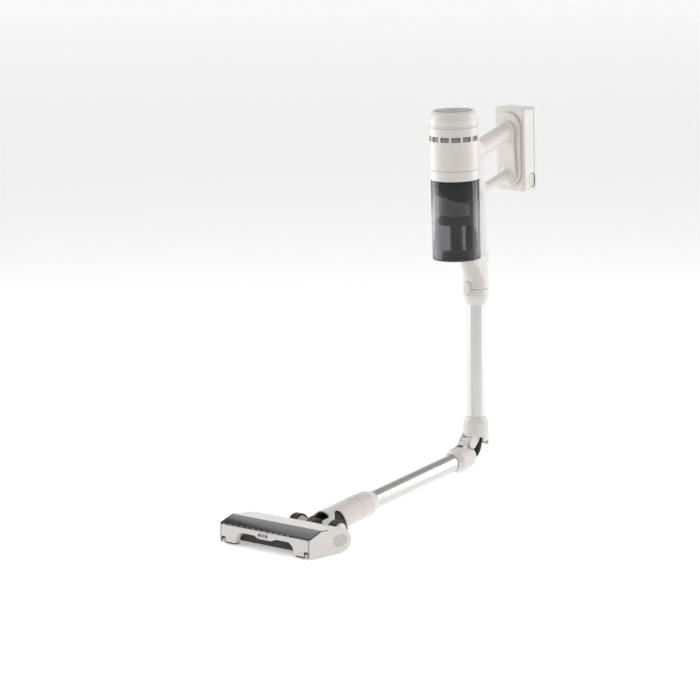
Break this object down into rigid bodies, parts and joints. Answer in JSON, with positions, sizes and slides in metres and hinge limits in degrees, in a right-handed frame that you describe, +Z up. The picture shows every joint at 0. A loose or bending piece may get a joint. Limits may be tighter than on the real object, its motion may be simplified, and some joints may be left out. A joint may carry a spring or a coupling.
{
  "type": "cordless stick vacuum",
  "caption": "Cordless stick vacuum: motor body with a smoked dust cup, round grip and battery behind, folding tube wand, swivel neck on wheels and a wide brush floor head",
  "frame": {"origin": "middle of the grip, on its axis", "axes": "+Z up, along the upper wand; -Y towards the floor head; +X to the right when looking from the head towards the grip (along +Y)"},
  "size_m": [0.2304, 0.7527, 0.7841],
  "materials": {
    "shell_white": "warm white, satin gloss",
    "display_black": "dark gloss",
    "smoked_clear": "smoked clear, high gloss",
    "circuit_board": "lacquered",
    "vent_mesh": "fine grey mesh",
    "filter_steel": "perforated sheet",
    "filter_paper": "pleated paper",
    "foam_grey": "open foam",
    "motor_alloy": "machined",
    "black_rubber": "matte",
    "dark_plastic": "satin",
    "cell_wrap": "shrink film",
    "wand_aluminium": "satin anodised, brushed lengthwise",
    "steel": "ground",
    "tyre_rubber": "matte",
    "roller_grey": "satin"
  },
  "bodies": {
    "handheld": {"top_cap": "shell_white", "display_lens": "display_black", "display_board": "circuit_board", "motor_housing": "shell_white", "exhaust_grille": "vent_mesh", "exhaust_filter": "filter_paper", "motor_can": "motor_alloy", "motor_mount": "black_rubber", "cup_collar": "shell_white", "handle_shell_left": "shell_white", "handle_shell_right": "shell_white", "dirt_duct": "dark_plastic", "control_board": "circuit_board", "battery_dock": "shell_white"},
    "power_key": {"power_button": "display_black"},
    "cup_key": {"cup_button": "shell_white"},
    "fan": {"impeller": "dark_plastic"},
    "dust_cup": {"cup_shell": "smoked_clear", "cup_floor": "smoked_clear", "cyclone_shroud": "dark_plastic", "prefilter": "foam_grey", "mesh_filter": "filter_steel", "cyclone_skirt": "dark_plastic", "cyclone_tube": "dark_plastic", "fine_dust_cup": "dark_plastic"},
    "battery_pack": {"battery_case": "shell_white", "battery_cover": "shell_white", "battery_cells": "cell_wrap"},
    "battery_key_left": {"battery_button_left": "shell_white"},
    "battery_key_right": {"battery_button_right": "shell_white"},
    "wand_key": {"wand_button": "shell_white"},
    "wand_upper": {"upper_coupling": "shell_white", "upper_tube": "wand_aluminium", "fold_yoke": "shell_white", "fold_pin": "steel", "fold_hose": "black_rubber"},
    "wand_lower": {"lower_tube": "wand_aluminium", "fold_knuckle": "shell_white", "lower_coupling": "shell_white"},
    "fold_key": {"fold_button": "shell_white"},
    "neck": {"neck_barrel": "shell_white", "neck_liner": "black_rubber"},
    "head_key": {"head_button": "shell_white"},
    "cradle_body": {"cradle": "dark_plastic", "swivel_ball": "black_rubber"},
    "wheel_left": {"wheel_hub_left": "shell_white", "tyre_left": "tyre_rubber"},
    "wheel_right": {"wheel_hub_right": "shell_white", "tyre_right": "tyre_rubber"},
    "floor_head": {"head_shell": "shell_white", "head_window": "smoked_clear", "base_plate": "dark_plastic", "end_cap_left": "shell_white", "end_cap_right": "shell_white", "brush_motor": "steel", "drive_belt": "black_rubber"},
    "brush": {"brush_roll": "dark_plastic"},
    "pulley": {"motor_pulley": "steel"},
    "roller_left": {"front_roller_left": "roller_grey"},
    "roller_right": {"front_roller_right": "roller_grey"}
  },
  "joints": [
    {"name": "power_press", "type": "slide", "parent": "handheld", "child": "power_key", "axis": [0, 0.0346, -0.9994], "range_m": [0, 0.0008], "stiffness_N_per_m": 2500, "springref_m": -0.001},
    {"name": "cup_release", "type": "slide", "parent": "handheld", "child": "cup_key", "axis": [1, 0, 0], "range_m": [0, 0.0015], "stiffness_N_per_m": 1500, "springref_m": -0.001},
    {"name": "fan_spin", "type": "hinge", "parent": "handheld", "child": "fan", "pos_m": [0, -0.11689, -0.03413], "axis": [0, -0.0346, 0.9994], "continuous": true},
    {"name": "cup_slide", "type": "slide", "parent": "handheld", "child": "dust_cup", "axis": [0, -0.9994, -0.0346], "range_m": [0, 0.06]},
    {"name": "battery_slide", "type": "slide", "parent": "handheld", "child": "battery_pack", "axis": [0, 0.9994, 0.0346], "range_m": [0, 0.06]},
    {"name": "battery_release_left", "type": "slide", "parent": "battery_pack", "child": "battery_key_left", "axis": [1, 0, 0], "range_m": [0, 0.0025], "stiffness_N_per_m": 1500, "springref_m": -0.001},
    {"name": "battery_release_right", "type": "slide", "parent": "battery_pack", "child": "battery_key_right", "axis": [-1, 0, 0], "range_m": [0, 0.0025], "stiffness_N_per_m": 1500, "springref_m": -0.001},
    {"name": "wand_release", "type": "slide", "parent": "handheld", "child": "wand_key", "axis": [0, 1, 0], "range_m": [0, 0.0012], "stiffness_N_per_m": 1500, "springref_m": -0.001},
    {"name": "wand_slide", "type": "slide", "parent": "handheld", "child": "wand_upper", "axis": [0, 0, -1], "range_m": [0, 0.06]},
    {"name": "wand_fold", "type": "hinge", "parent": "wand_upper", "child": "wand_lower", "pos_m": [0, -0.07893, -0.59552], "axis": [1, 0, 0], "range_deg": [-9.23, 80.77], "deforming": ["fold_hose"]},
    {"name": "fold_release", "type": "slide", "parent": "wand_lower", "child": "fold_key", "axis": [0, 0.9871, 0.1604], "range_m": [0, 0.0012], "stiffness_N_per_m": 1500, "springref_m": -0.001},
    {"name": "neck_slide", "type": "slide", "parent": "wand_lower", "child": "neck", "axis": [0, -0.9871, -0.1604], "range_m": [0, 0.06]},
    {"name": "head_release", "type": "slide", "parent": "neck", "child": "head_key", "axis": [0, 0.1604, -0.9871], "range_m": [0, 0.0012], "stiffness_N_per_m": 1500, "springref_m": -0.001},
    {"name": "neck_tilt", "type": "hinge", "parent": "neck", "child": "cradle_body", "pos_m": [0, -0.51333, -0.69478], "axis": [1, 0, 0], "range_deg": [-80.77, 6]},
    {"name": "neck_swivel", "type": "hinge", "parent": "cradle_body", "child": "floor_head", "pos_m": [0, -0.54333, -0.69478], "axis": [0, 1, 0], "range_deg": [-80, 80]},
    {"name": "wheel_spin_left", "type": "hinge", "parent": "cradle_body", "child": "wheel_left", "pos_m": [-0.05, -0.51333, -0.69478], "axis": [1, 0, 0], "continuous": true},
    {"name": "wheel_spin_right", "type": "hinge", "parent": "cradle_body", "child": "wheel_right", "pos_m": [0.05, -0.51333, -0.69478], "axis": [1, 0, 0], "continuous": true},
    {"name": "brush_spin", "type": "hinge", "parent": "floor_head", "child": "brush", "pos_m": [0, -0.62533, -0.69338], "axis": [1, 0, 0], "continuous": true},
    {"name": "pulley_spin", "type": "hinge", "parent": "floor_head", "child": "pulley", "pos_m": [0.1, -0.57513, -0.69278], "axis": [1, 0, 0], "continuous": true},
    {"name": "roller_spin_left", "type": "hinge", "parent": "floor_head", "child": "roller_left", "pos_m": [-0.1066, -0.65283, -0.70998], "axis": [1, 0, 0], "continuous": true},
    {"name": "roller_spin_right", "type": "hinge", "parent": "floor_head", "child": "roller_right", "pos_m": [0.1066, -0.65283, -0.70998], "axis": [1, 0, 0], "continuous": true}
  ],
  "couplings": [
    {"joint": "pulley_spin", "follows": "brush_spin", "ratio": 1.303}
  ]
}
